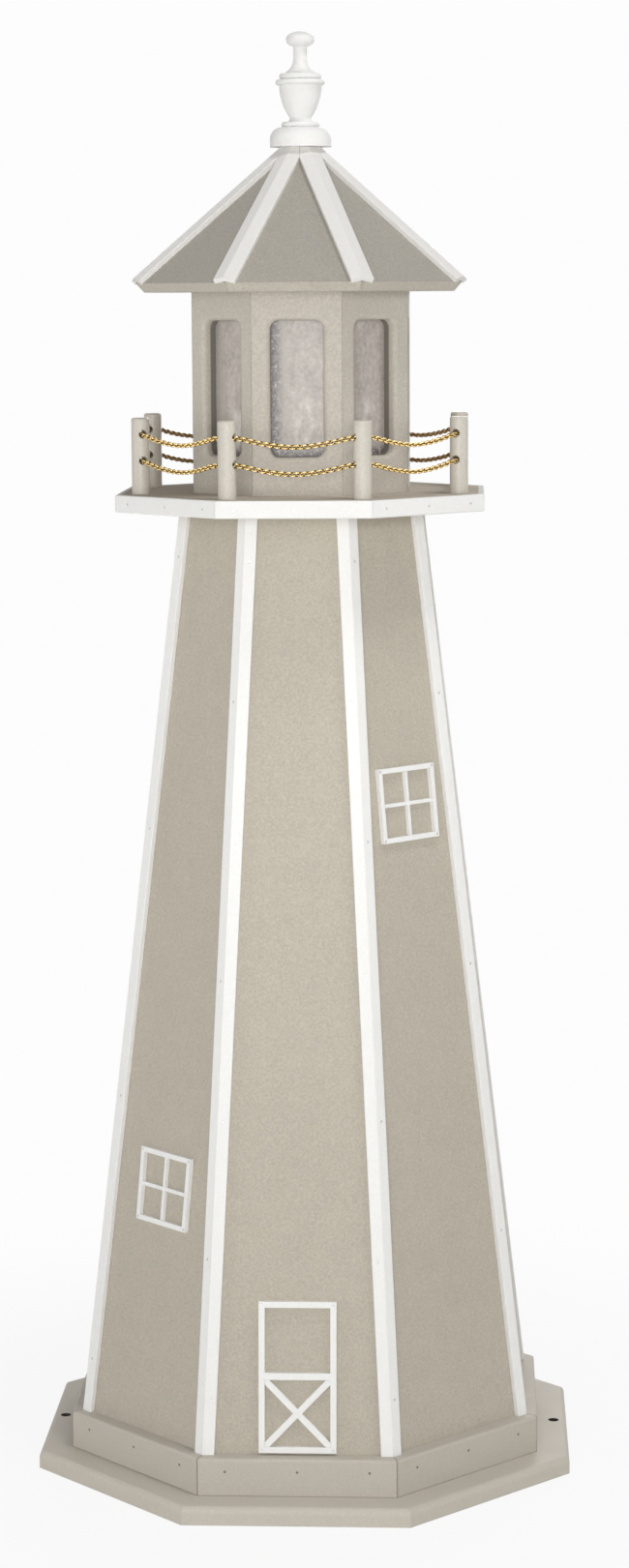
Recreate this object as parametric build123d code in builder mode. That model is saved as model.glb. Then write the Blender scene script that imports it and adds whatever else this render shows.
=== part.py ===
from build123d import *
import os
from math import asin, atan, cos, degrees, pi, radians, sin, tan

# Octagon plan that every level shares: face 1 looks to the front, along -Y
SIDES = 8
TURN = 360 / SIDES
HALF_TURN = radians(TURN / 2)
mitre_gap = 0.2

# Base board and skirt
base_across_flats = 570
base_thickness = 19
base_edge_round = 7
anchor_hole_diameter = 11
anchor_edge_distance = 14.5
skirt_across_flats = 501
skirt_height = 40
skirt_edge_round = 3

# Tower
tower_height = 1008
tower_foot_across_flats = 477
tower_head_across_flats = 244
panel_thickness = 12.5
batten_width = 12.5
batten_thickness = 5.5
top_plate_thickness = 19

# Gallery
deck_across_flats = 385
deck_thickness = 18
fascia_thickness = 6
fascia_edge_round = 1.5
post_diameter = 19
post_height = 80
post_corner_distance = 22
post_top_round = 2.5
chain_hole_diameter = 8.5
upper_chain_height = 63
lower_chain_height = 35.5

# Chains: the tube that a chain fills, and its hang in one bay as shares of the bay and drops
chain_diameter = 6.5
chain_rest_gap = 0.5
chain_mouth_reach = 13
chain_end_gap = 1
BAY_HANG = [(0.17, 5.3), (0.40, 9.5), (0.60, 9.5), (0.83, 5.3)]
ARC_SHARE = 0.45

# Lantern
lantern_across_flats = 226
lantern_height = 252
lantern_wall = 16
window_width = 55
window_height = 140
window_sill = 40
window_corner_radius = 9
window_edge_round = 5
pane_thickness = 3
pane_lap = 6

# Roof
roof_pitch = 42
roof_thickness = 12.7
eave_across_flats = 321
rib_width = 13
rib_thickness = 5.5
rib_setback = 1.5
strip_edge_round = 1
peak_hole_across_flats = 23
peak_flat_radius = 22.5
peak_block_across_flats = 90
peak_block_rim = 8
cleat_width = 40
cleat_thickness = 16
cleat_depth = 25
cleat_clearance = 1.5

# Finial, from its seat upwards
finial_base_radius = 32.4
finial_base_height = 8
finial_dome_radius = 18.3
finial_dome_height = 12.3
finial_ring_radius = 20.3
finial_ring_height = 5.5
finial_waist_radius = 11.4
finial_waist_height = 4.4
finial_cup_radius = 22.3
finial_cup_height = 33.5
finial_rim_radius = 26.3
finial_rim_height = 5.8
finial_bead_radius = 22.3
finial_bead_height = 6.5
finial_flare_radius = 15.2
finial_flare_step = 1.4
finial_flare_height = 13.6
finial_neck_radius = 7.2
finial_neck_height = 11
finial_knob_height = 17
finial_knob_crown_radius = 23.8
finial_knob_side_radius = 6.2
finial_spigot_clearance = 0.5

# Lamp
wire_hole_diameter = 12
holder_wire_hole_diameter = 10
holder_flange_radius = 30
holder_flange_height = 6
holder_radius = 21
holder_height = 38
socket_depth = 26
socket_clearance = 0.5
bulb_cap_radius = 13.5
bulb_cap_height = 28
bulb_cap_chamfer = 3
bulb_radius = 30
bulb_neck_radius = 13
bulb_neck_height = 50
bulb_shoulder_round = 25
bulb_wall = 1.2

# Lead outlet in the rear panel
outlet_rise = 36
outlet_bore_diameter = 11
grommet_wall = 2
grommet_flange_width = 3
grommet_flange_thickness = 2

# Door and window trim
trim_thickness = 5
door_width = 81
door_height = 158
door_strip = 6.5
door_sill_gap = 2
door_rail_strip = 7.3
door_rail_middle = 80
door_brace_strip = 6.7
window_trim_width = 80
window_trim_height = 78
window_strip = 5.5
muntin_width = 4
muntin_thickness = 4
left_window_shift = 4
right_window_shift = 0
LEFT_WINDOW_SHARE = 0.297
RIGHT_WINDOW_SHARE = 0.7

# Brads and screws
brad_radius = 0.7
brad_head_radius = 1.4
brad_head_thickness = 0.6
brad_set = 0.4
brad_fit = 0.05
batten_brad_count = 7
batten_brad_inset = 6
batten_brad_low_margin = 58
batten_brad_high_margin = 48
batten_brad_length = 12
skirt_brad_spacing = 75
skirt_brad_height = 26
skirt_brad_length = 22
fascia_brad_spacing = 60
fascia_brad_length = 18
trim_brad_length = 12
screw_radius = 2
screw_head_radius = 4
screw_head_height = 2.5
screw_fit = 0.1
screw_recess_width = 0.9
screw_recess_length = 4
screw_recess_depth = 1.4
deck_screw_length = 34
deck_screw_circle_radius = 80
post_screw_length = 44
finial_screw_length = 75

# Levels and slopes that follow from the sizes above
base_top = base_thickness
skirt_top = base_top + skirt_height
outlet_height = skirt_top + outlet_rise
deck_bottom = base_top + tower_height
deck_top = deck_bottom + deck_thickness
wall_top = deck_top + lantern_height
tower_lean = degrees(atan((tower_foot_across_flats - tower_head_across_flats) / 2 / tower_height))
tower_length = tower_height / cos(radians(tower_lean))
deck_board_across_flats = deck_across_flats - 2 * fascia_thickness
post_circle_radius = deck_board_across_flats / 2 / cos(HALF_TURN) - post_corner_distance
chain_rest_drop = (chain_hole_diameter - chain_diameter) / 2 - chain_rest_gap
lantern_apothem = lantern_across_flats / 2
lantern_inner_apothem = lantern_apothem - lantern_wall
roof_lean = 90 - roof_pitch
roof_rise = tan(radians(roof_pitch))
roof_cos = cos(radians(roof_pitch))
under_peak = wall_top + lantern_apothem * roof_rise
over_peak = under_peak + roof_thickness / roof_cos
rib_peak = over_peak + rib_thickness / roof_cos
finial_seat = rib_peak - peak_flat_radius * roof_rise * cos(HALF_TURN)
peak_hole_apothem = peak_hole_across_flats / 2
peak_block_top = under_peak - peak_hole_apothem * roof_rise
peak_block_bottom = under_peak - peak_block_across_flats / 2 * roof_rise - peak_block_rim
FROM_TOP = (Align.CENTER, Align.CENTER, Align.MAX)
FROM_BOTTOM = (Align.CENTER, Align.CENTER, Align.MIN)


def save(piece, name):
    """Label a finished piece and write it as its own file."""
    piece.part.label = name
    export_step(piece.part, f"parts/{name}.step")


def tower_apothem(height):
    """Distance from the axis to the outer face of the tower at a height."""
    return tower_foot_across_flats / 2 - (height - base_top) * tan(radians(tower_lean))


def face_plane(apothem, height, lean=0, turn=0):
    """Plane of one octagon face: x along the face, y up it, z outwards."""
    angle = radians(TURN * turn - 90)
    out_x, out_y = cos(angle), sin(angle)
    level = cos(radians(lean))
    return Plane(
        origin=(apothem * out_x, apothem * out_y, height),
        x_dir=(-out_y, out_x, 0),
        z_dir=(out_x * level, out_y * level, sin(radians(lean))),
    )


def upright_plane(height):
    """Plane through the axis for turned pieces: x out to the right, y up from a height."""
    return Plane(origin=(0, 0, height), x_dir=(1, 0, 0), z_dir=(0, -1, 0))


def tower_face(height, turn=0):
    """Plane on the outer face of a tower panel, with its origin at a height."""
    return face_plane(tower_apothem(height), height, tower_lean, turn)


def spot(plane, x, y):
    """Place on a plane, with its z axis along the plane's normal."""
    return plane.location * Pos(x, y, 0)


def mitre_cut():
    """Cut the front piece of a ring of eight back to its own eighth."""
    for side in (-1, 1):
        inward = Vector(-side * cos(HALF_TURN), -sin(HALF_TURN), 0)
        split(bisect_by=Plane(origin=inward * mitre_gap / 2, z_dir=inward), keep=Keep.TOP)


def corner_plane(radius, height, lean):
    """Plane square across the corner line between faces 1 and 2, with y outwards."""
    angle = HALF_TURN - radians(90)
    slope = atan(cos(HALF_TURN) / tan(radians(lean)))
    return Plane(
        origin=(radius * cos(angle), radius * sin(angle), height),
        x_dir=(sin(angle), -cos(angle), 0),
        z_dir=(-cos(slope) * cos(angle), -cos(slope) * sin(angle), sin(slope)),
    )


def angle_strip(plane, lean, width, thickness, length):
    """Straight strip with two arms, one flat on each face beside a corner."""
    fold = asin(cos(radians(lean)) * sin(HALF_TURN))
    inner = width - thickness * tan(fold)
    inner_x, inner_y = inner * cos(fold), -inner * sin(fold)
    outer_x, outer_y = inner_x + thickness * sin(fold), inner_y + thickness * cos(fold)
    with BuildSketch(plane) as section:
        with BuildLine():
            Polyline(
                (0, 0),
                (inner_x, inner_y),
                (outer_x, outer_y),
                (0, thickness / cos(fold)),
                (-outer_x, outer_y),
                (-inner_x, inner_y),
                close=True,
            )
        make_face()
        ends = section.vertices().sort_by(Axis.X)
        fillet([ends[0], ends[-1]], strip_edge_round)
    extrude(section.sketch, amount=length)


def octagon(across_flats):
    """Octagon with flats to the front, back and sides."""
    RegularPolygon(across_flats / 2, SIDES, major_radius=False, rotation=TURN / 2)


def brad(length):
    """Brad driven down from the local z = 0, with its head set a little below."""
    with Locations((0, 0, -brad_set)):
        Cylinder(brad_head_radius, brad_head_thickness, align=FROM_TOP)
        Cylinder(brad_radius, length - brad_set, align=FROM_TOP)


def brad_hole(length):
    """Hole that a brad leaves in what it is driven through."""
    pit = brad_set + brad_head_thickness
    with Locations((0, 0, -pit)):
        Cylinder(brad_head_radius + brad_fit, 2 * pit, align=FROM_BOTTOM, mode=Mode.SUBTRACT)
    Cylinder(brad_radius + brad_fit, length + brad_fit, align=FROM_TOP, mode=Mode.SUBTRACT)


def screw(length):
    """Countersunk wood screw, with its head flush with the local z = 0."""
    Cone(screw_radius, screw_head_radius, screw_head_height, align=FROM_TOP)
    Cylinder(screw_radius, length, align=FROM_TOP)
    for angle in (0, 90):
        Box(
            screw_recess_length,
            screw_recess_width,
            screw_recess_depth,
            rotation=(0, 0, angle),
            align=FROM_TOP,
            mode=Mode.SUBTRACT,
        )


def screw_hole(length):
    """Countersunk hole for a wood screw."""
    head = screw_head_radius + screw_fit
    Cone(screw_radius + screw_fit, head, screw_head_height, align=FROM_TOP, mode=Mode.SUBTRACT)
    Cylinder(screw_radius + screw_fit, length + screw_fit, align=FROM_TOP, mode=Mode.SUBTRACT)


# Places of the brads: the battens' go by turns to the two faces beside each corner
def batten_brads(turn, side):
    """Brads through the batten arm on one side (-1 left, 1 right) of a face."""
    low = skirt_top + batten_brad_low_margin
    step = (deck_bottom - batten_brad_high_margin - low) / (batten_brad_count - 1)
    first = 0 if side < 0 else 1
    places = []
    for index in range(first, batten_brad_count, 2):
        height = low + step * index
        rise = batten_thickness / cos(radians(tower_lean))
        ridge = (tower_apothem(height) + rise) * tan(HALF_TURN)
        face = face_plane(tower_apothem(height) + rise, height, tower_lean, turn)
        places.append(spot(face, side * (ridge - batten_brad_inset), 0))
    return places


def row_brads(apothem, height, spacing, turn):
    """Three brads in a level row on an upright face."""
    face = face_plane(apothem, height, 0, turn)
    return [spot(face, spacing * index, 0) for index in (-1, 0, 1)]


def frame_brads(plane, width, height, strip):
    """Brads in the four corners of a trim frame centred on a plane."""
    half_x, half_y = (width - strip) / 2, (height - strip) / 2
    face = plane.offset(trim_thickness)
    return [spot(face, x, y) for x in (-half_x, half_x) for y in (-half_y, half_y)]


skirt_brad_places = [
    place
    for turn in range(SIDES)
    for place in row_brads(skirt_across_flats / 2, base_top + skirt_brad_height, skirt_brad_spacing, turn)
]
fascia_brad_places = [
    place
    for turn in range(SIDES)
    for place in row_brads(deck_across_flats / 2, deck_bottom + deck_thickness / 2, fascia_brad_spacing, turn)
]

# Planes of the door and the two windows, each with its origin at the middle of the trim
FRONT, RIGHT_FRONT, REAR, LEFT_FRONT = 0, 1, 4, 7
door_middle = skirt_top + (door_sill_gap + door_height / 2) * cos(radians(tower_lean))
door_plane = tower_face(door_middle, FRONT)
left_window_height = base_top + tower_height * LEFT_WINDOW_SHARE
right_window_height = base_top + tower_height * RIGHT_WINDOW_SHARE
left_window_plane = Plane(spot(tower_face(left_window_height, LEFT_FRONT), left_window_shift, 0))
right_window_plane = Plane(spot(tower_face(right_window_height, RIGHT_FRONT), right_window_shift, 0))
door_brad_places = frame_brads(door_plane, door_width, door_height, door_strip)
window_brad_places = {
    LEFT_FRONT: frame_brads(left_window_plane, window_trim_width, window_trim_height, window_strip),
    RIGHT_FRONT: frame_brads(right_window_plane, window_trim_width, window_trim_height, window_strip),
}
trim_brads_on = {FRONT: door_brad_places, **window_brad_places}

# Places of the posts, and the screws that hold them and the deck
post_angles = [TURN * (corner + 0.5) - 90 for corner in range(SIDES)]
post_places = [Location((0, 0, deck_top), (0, 0, angle)) * Pos(post_circle_radius, 0, 0) for angle in post_angles]
post_screw_places = [
    Location((0, 0, deck_bottom), (0, 0, angle)) * Pos(post_circle_radius, 0, 0) * Rotation(180, 0, 0)
    for angle in post_angles
]
deck_screw_places = [
    Location((0, 0, deck_top), (0, 0, angle)) * Pos(deck_screw_circle_radius, 0, 0)
    for angle in post_angles[::2]
]
finial_screw_place = Location((0, 0, peak_block_bottom)) * Rotation(180, 0, 0)

os.makedirs("parts", exist_ok=True)

# Base board, with its top edge rounded over and two anchor holes
with BuildPart() as base_board:
    with BuildSketch():
        octagon(base_across_flats)
    extrude(amount=base_thickness)
    fillet(base_board.edges().group_by(Axis.Z)[-1], base_edge_round)
    anchor_x = base_across_flats / 2 - anchor_edge_distance
    with Locations((-anchor_x, 0, base_top), (anchor_x, 0, base_top)):
        Hole(anchor_hole_diameter / 2)
save(base_board, "base_board")

# Skirt boards, planed at the back to the lean of the tower
with BuildPart() as skirt_blank:
    with BuildSketch(face_plane(skirt_across_flats / 2, base_top)):
        Rectangle(skirt_across_flats, skirt_height, align=(Align.CENTER, Align.MIN))
    extrude(amount=-skirt_across_flats / 4)
    split(bisect_by=tower_face(base_top), keep=Keep.TOP)
    mitre_cut()
    fillet(skirt_blank.edges().group_by(Axis.Z)[-1].sort_by(Axis.Y)[0], skirt_edge_round)
with BuildPart() as skirt_boards:
    with PolarLocations(0, SIDES):
        add(skirt_blank.part)
    with Locations(*skirt_brad_places):
        brad_hole(skirt_brad_length)
save(skirt_boards, "skirt_boards")

# Tower panels, level at foot and head, with the outlet for the lamp's lead in the rear one
with BuildPart() as panel_blank:
    with BuildSketch(tower_face(base_top)):
        with Locations((0, -panel_thickness)):
            Rectangle(
                tower_foot_across_flats,
                tower_length + 2 * panel_thickness,
                align=(Align.CENTER, Align.MIN),
            )
    extrude(amount=-panel_thickness)
    mitre_cut()
    split(bisect_by=Plane.XY.offset(base_top), keep=Keep.TOP)
    split(bisect_by=Plane.XY.offset(deck_bottom), keep=Keep.BOTTOM)
    with Locations(*batten_brads(FRONT, -1), *batten_brads(FRONT, 1)):
        brad_hole(batten_brad_length)
    with Locations(*skirt_brad_places[:3]):
        brad_hole(skirt_brad_length)
outlet_plane = tower_face(outlet_height, REAR)
outlet_hole_radius = outlet_bore_diameter / 2 + grommet_wall
for turn in range(SIDES):
    with BuildPart() as tower_panel:
        add(panel_blank.part, rotation=(0, 0, TURN * turn))
        if turn in trim_brads_on:
            with Locations(*trim_brads_on[turn]):
                brad_hole(trim_brad_length)
        if turn == REAR:
            with Locations(outlet_plane.location):
                Cylinder(outlet_hole_radius, 4 * panel_thickness, mode=Mode.SUBTRACT)
    save(tower_panel, f"tower_panel_{turn + 1}")

# Grommet that lines the outlet, with a flange on each side of the panel
with BuildPart() as cable_grommet:
    with BuildSketch(outlet_plane.offset(grommet_flange_thickness)):
        Circle(outlet_hole_radius + grommet_flange_width)
    extrude(amount=-grommet_flange_thickness)
    with BuildSketch(outlet_plane):
        Circle(outlet_hole_radius)
    extrude(amount=-panel_thickness)
    with BuildSketch(outlet_plane.offset(-panel_thickness)):
        Circle(outlet_hole_radius + grommet_flange_width)
    extrude(amount=-grommet_flange_thickness)
    with Locations(outlet_plane.location):
        Cylinder(outlet_bore_diameter / 2, 4 * panel_thickness, mode=Mode.SUBTRACT)
save(cable_grommet, "cable_grommet")

# Battens over the tower's corners, standing on the skirt and cut level at both ends
with BuildPart() as batten_blank:
    batten_foot = tower_apothem(base_top) / cos(HALF_TURN)
    angle_strip(
        corner_plane(batten_foot, base_top, tower_lean),
        tower_lean,
        batten_width,
        batten_thickness,
        tower_length + skirt_height,
    )
    split(bisect_by=Plane.XY.offset(skirt_top), keep=Keep.TOP)
    split(bisect_by=Plane.XY.offset(deck_bottom), keep=Keep.BOTTOM)
    with Locations(*batten_brads(FRONT, 1), *batten_brads(RIGHT_FRONT, -1)):
        brad_hole(batten_brad_length)
for turn in range(SIDES):
    with BuildPart() as tower_batten:
        add(batten_blank.part, rotation=(0, 0, TURN * turn))
    save(tower_batten, f"tower_batten_{turn + 1}")

# Plate inside the head of the tower, its edges leaning with the panels
with BuildPart() as tower_top_plate:
    with BuildSketch(Plane.XY.offset(deck_bottom)):
        octagon(tower_foot_across_flats)
    extrude(amount=-top_plate_thickness)
    for turn in range(SIDES):
        inner_face = tower_face(base_top, turn).offset(-panel_thickness)
        split(bisect_by=inner_face, keep=Keep.BOTTOM)
    with Locations((0, 0, deck_bottom)):
        Hole(wire_hole_diameter / 2)
    with Locations(*deck_screw_places):
        screw_hole(deck_screw_length)
save(tower_top_plate, "tower_top_plate")

# Gallery deck
with BuildPart() as gallery_deck:
    with BuildSketch(Plane.XY.offset(deck_bottom)):
        octagon(deck_board_across_flats)
    extrude(amount=deck_thickness)
    with Locations((0, 0, deck_top)):
        Hole(wire_hole_diameter / 2)
    with Locations(*deck_screw_places):
        screw_hole(deck_screw_length)
    with Locations(*post_screw_places):
        screw_hole(post_screw_length)
    with Locations(*fascia_brad_places):
        brad_hole(fascia_brad_length)
save(gallery_deck, "gallery_deck")

# Fascia strips round the deck, with their outer edges eased
with BuildPart() as fascia_blank:
    with BuildSketch(face_plane(deck_across_flats / 2, deck_bottom)):
        Rectangle(deck_across_flats, deck_thickness, align=(Align.CENTER, Align.MIN))
    extrude(amount=-fascia_thickness)
    mitre_cut()
    outer_edges = fascia_blank.faces().sort_by(Axis.Y)[0].edges().filter_by(Axis.X)
    fillet(outer_edges, fascia_edge_round)
with BuildPart() as deck_fascia:
    with PolarLocations(0, SIDES):
        add(fascia_blank.part)
    with Locations(*fascia_brad_places):
        brad_hole(fascia_brad_length)
save(deck_fascia, "deck_fascia")

# Gallery posts, each drilled twice along the rail for the chains
chain_heights = {"upper_chain": upper_chain_height, "lower_chain": lower_chain_height}
with BuildPart() as post_blank:
    Cylinder(post_diameter / 2, post_height, align=FROM_BOTTOM)
    fillet(post_blank.edges().group_by(Axis.Z)[-1], post_top_round)
    with Locations(*[(0, 0, height) for height in chain_heights.values()]):
        Cylinder(
            chain_hole_diameter / 2,
            2 * post_diameter,
            rotation=(90, 0, 0),
            mode=Mode.SUBTRACT,
        )
with BuildPart() as gallery_posts:
    with Locations(*post_places):
        add(post_blank.part)
    with Locations(*post_screw_places):
        screw_hole(post_screw_length)
save(gallery_posts, "gallery_posts")


def chain_route(height):
    """Points of one chain, from inside a rear post, round the gallery and back into it."""
    first_post = SIDES // 2 - 1
    level = deck_top + height - chain_rest_drop
    mouths = []
    for post in range(SIDES + 1):
        angle = radians(post_angles[(first_post + post) % SIDES])
        centre = Vector(post_circle_radius * cos(angle), post_circle_radius * sin(angle), level)
        along = Vector(-sin(angle), cos(angle), 0)
        mouths.append((centre - along * chain_mouth_reach, centre, centre + along * chain_mouth_reach))
    along = (mouths[0][2] - mouths[0][1]).normalized()
    points = [mouths[0][1] + along * chain_end_gap / 2, mouths[0][2]]
    for here, there in zip(mouths, mouths[1:]):
        for share, drop in BAY_HANG:
            points.append(here[2] + (there[0] - here[2]) * share - Vector(0, 0, drop))
        points.append(there[0])
        points.append(there[2])
    points[-1] = mouths[-1][1] - along * chain_end_gap / 2
    return points


def arc_radii(points):
    """Largest arc at each corner that its two runs leave room for."""
    radii = []
    for before, corner, after in zip(points, points[1:], points[2:]):
        into, out = corner - before, after - corner
        turn = radians(into.get_angle(out))
        radii.append(ARC_SHARE * min(into.length, out.length) / tan(turn / 2))
    return radii


# Chains, as the tube that each one fills
for name, height in chain_heights.items():
    route = chain_route(height)
    radii = arc_radii(route)
    with BuildPart() as chain:
        with BuildLine():
            run = FilletPolyline(*route, radius=radii)
        with BuildSketch(Plane(origin=run @ 0, z_dir=run % 0)):
            Circle(chain_diameter / 2)
        sweep()
    expected = pi * (chain_diameter / 2) ** 2 * run.length
    print(name, "length", round(run.length, 1), "least radius", round(min(radii), 1))
    print(name, "volume over section times length", round(chain.part.volume / expected, 4))
    save(chain, name)

# Lantern walls, bevelled on top to seat the roof, with a rounded-over window in each
roof_under = face_plane(lantern_apothem, wall_top, roof_lean)
window_middle = deck_top + window_sill + window_height / 2
with BuildPart() as wall_blank:
    with BuildSketch(face_plane(lantern_apothem, deck_top)):
        Rectangle(
            lantern_across_flats,
            lantern_height + 2 * lantern_wall,
            align=(Align.CENTER, Align.MIN),
        )
    extrude(amount=-lantern_wall)
    mitre_cut()
    split(bisect_by=roof_under, keep=Keep.BOTTOM)
    with BuildSketch(face_plane(lantern_apothem, window_middle)):
        RectangleRounded(window_width, window_height, window_corner_radius)
    extrude(amount=-lantern_wall, mode=Mode.SUBTRACT)
    window_rim = wall_blank.faces().sort_by(Axis.Y)[0].inner_wires()[0].edges()
    fillet(window_rim, window_edge_round)
for turn in range(SIDES):
    with BuildPart() as lantern_panel:
        add(wall_blank.part, rotation=(0, 0, TURN * turn))
    save(lantern_panel, f"lantern_panel_{turn + 1}")

# Panes, each lying against the inside of its wall
with BuildPart() as lantern_panes:
    for turn in range(SIDES):
        with BuildSketch(face_plane(lantern_inner_apothem, window_middle, 0, turn)):
            Rectangle(window_width + 2 * pane_lap, window_height + 2 * pane_lap)
        extrude(amount=-pane_thickness)
save(lantern_panes, "lantern_panes")

# Roof panels, square-cut at the eave and plumb round the hole in the peak
eave_run = (eave_across_flats / 2 - lantern_apothem) / roof_cos
with BuildPart() as roof_blank:
    with BuildSketch(roof_under):
        with Locations((0, -eave_run)):
            Rectangle(
                eave_across_flats,
                eave_across_flats / roof_cos,
                align=(Align.CENTER, Align.MIN),
            )
    extrude(amount=roof_thickness)
    mitre_cut()
    split(bisect_by=Plane.XY.offset(finial_seat), keep=Keep.BOTTOM)
    split(bisect_by=face_plane(peak_hole_apothem, finial_seat), keep=Keep.TOP)
for turn in range(SIDES):
    with BuildPart() as roof_panel:
        add(roof_blank.part, rotation=(0, 0, TURN * turn))
    save(roof_panel, f"roof_panel_{turn + 1}")

# Ribs over the hips, square-cut near the eave, mitred together and level under the finial
hip_slope = atan(roof_rise * cos(HALF_TURN))
eave_over_apothem = eave_across_flats / 2 + roof_thickness * sin(radians(roof_pitch))
rib_foot = eave_over_apothem / cos(HALF_TURN) - rib_setback * cos(hip_slope)
rib_foot_height = over_peak - rib_foot * tan(hip_slope)
with BuildPart() as rib_blank:
    angle_strip(
        corner_plane(rib_foot, rib_foot_height, roof_lean),
        roof_lean,
        rib_width,
        rib_thickness,
        rib_foot / cos(hip_slope),
    )
    for turn in (-1, 2):
        split(bisect_by=face_plane(mitre_gap / 2, 0, 0, turn), keep=Keep.TOP)
    split(bisect_by=Plane.XY.offset(finial_seat), keep=Keep.BOTTOM)
with BuildPart() as roof_ribs:
    with PolarLocations(0, SIDES):
        add(rib_blank.part)
save(roof_ribs, "roof_ribs")

# Block inside the peak, its sides flat against the underside of the roof
with BuildPart() as peak_block:
    with BuildSketch(Plane.XY.offset(peak_block_bottom)):
        octagon(peak_block_across_flats)
    extrude(amount=peak_block_top - peak_block_bottom)
    for turn in range(SIDES):
        split(bisect_by=face_plane(lantern_apothem, wall_top, roof_lean, turn), keep=Keep.BOTTOM)
    with Locations(finial_screw_place):
        screw_hole(finial_screw_length)
save(peak_block, "peak_block")

# Cleats under four of the roof panels, a loose fit inside the lantern walls
cleat_apothem = lantern_inner_apothem - cleat_clearance
cleat_bottom = wall_top + lantern_wall * roof_rise - cleat_depth
with BuildPart() as cleat_blank:
    with BuildSketch(face_plane(cleat_apothem, cleat_bottom)):
        Rectangle(cleat_width, cleat_depth + 2 * lantern_wall, align=(Align.CENTER, Align.MIN))
    extrude(amount=-cleat_thickness)
    split(bisect_by=roof_under, keep=Keep.BOTTOM)
with BuildPart() as roof_cleats:
    with PolarLocations(0, SIDES // 2):
        add(cleat_blank.part)
save(roof_cleats, "roof_cleats")

# Turned finial, with a spigot in the hole of the peak
spigot_radius = peak_hole_apothem - finial_spigot_clearance
spigot_depth = finial_seat - peak_block_top - finial_spigot_clearance
ring_foot = finial_base_height + finial_dome_height
ring_head = ring_foot + finial_ring_height
waist_level = ring_head + finial_waist_height
rim_foot = waist_level + finial_cup_height
rim_head = rim_foot + finial_rim_height
bead_head = rim_head + finial_bead_height
flare_foot = bead_head + finial_flare_step
flare_head = flare_foot + finial_flare_height
knob_middle = flare_head + finial_neck_height + finial_knob_height / 2
knob_crown_drop = finial_knob_crown_radius - finial_knob_height / 2
rim_inner = finial_rim_radius - finial_rim_height / 2
bead_inner = finial_bead_radius - finial_bead_height / 2
with BuildPart() as finial:
    with BuildSketch(upright_plane(finial_seat)):
        with BuildLine():
            Polyline(
                (0, -spigot_depth),
                (spigot_radius, -spigot_depth),
                (spigot_radius, 0),
                (finial_base_radius, 0),
                (finial_base_radius, finial_base_height),
            )
            TangentArc(
                (finial_base_radius, finial_base_height),
                (finial_dome_radius, ring_foot),
                tangent=(0, 1),
            )
            ThreePointArc(
                (finial_dome_radius, ring_foot),
                (finial_ring_radius, ring_foot + finial_ring_height / 2),
                (finial_dome_radius, ring_head),
            )
            TangentArc(
                (finial_waist_radius, waist_level),
                (finial_dome_radius, ring_head),
                tangent=(0, -1),
            )
            TangentArc(
                (finial_cup_radius, rim_foot),
                (finial_waist_radius, waist_level),
                tangent=(0, -1),
            )
            Line((finial_cup_radius, rim_foot), (rim_inner, rim_foot))
            ThreePointArc(
                (rim_inner, rim_foot),
                (finial_rim_radius, rim_foot + finial_rim_height / 2),
                (rim_inner, rim_head),
            )
            Line((rim_inner, rim_head), (bead_inner, rim_head))
            ThreePointArc(
                (bead_inner, rim_head),
                (finial_bead_radius, rim_head + finial_bead_height / 2),
                (bead_inner, bead_head),
            )
            Polyline(
                (bead_inner, bead_head),
                (finial_flare_radius, bead_head),
                (finial_flare_radius, flare_foot),
            )
            TangentArc(
                (finial_neck_radius, flare_head),
                (finial_flare_radius, flare_foot),
                tangent=(0, -1),
            )
            Polyline(
                (finial_neck_radius, flare_head),
                (finial_neck_radius, knob_middle),
                (0, knob_middle),
                (0, -spigot_depth),
            )
        make_face()
    revolve(axis=Axis.Z)
    with BuildSketch(upright_plane(finial_seat + knob_middle)) as knob:
        with Locations((0, knob_crown_drop)):
            Circle(finial_knob_crown_radius)
        with Locations((0, -knob_crown_drop)):
            Circle(finial_knob_crown_radius, mode=Mode.INTERSECT)
        fillet(knob.vertices(), finial_knob_side_radius)
        split(bisect_by=Plane.YZ, keep=Keep.TOP)
    revolve(axis=Axis.Z)
    with Locations(finial_screw_place):
        screw_hole(finial_screw_length)
save(finial, "finial")
with BuildPart() as finial_screw:
    with Locations(finial_screw_place):
        screw(finial_screw_length)
save(finial_screw, "finial_screw")

# Lamp holder in the middle of the deck
socket_floor = deck_top + holder_height - socket_depth
with BuildPart() as lamp_holder:
    with Locations((0, 0, deck_top)):
        Cylinder(holder_flange_radius, holder_flange_height, align=FROM_BOTTOM)
        Cylinder(holder_radius, holder_height, align=FROM_BOTTOM)
        Cylinder(holder_wire_hole_diameter / 2, holder_height, align=FROM_BOTTOM, mode=Mode.SUBTRACT)
    with Locations((0, 0, socket_floor)):
        Cylinder(bulb_cap_radius + socket_clearance, socket_depth, align=FROM_BOTTOM, mode=Mode.SUBTRACT)
save(lamp_holder, "lamp_holder")

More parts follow.
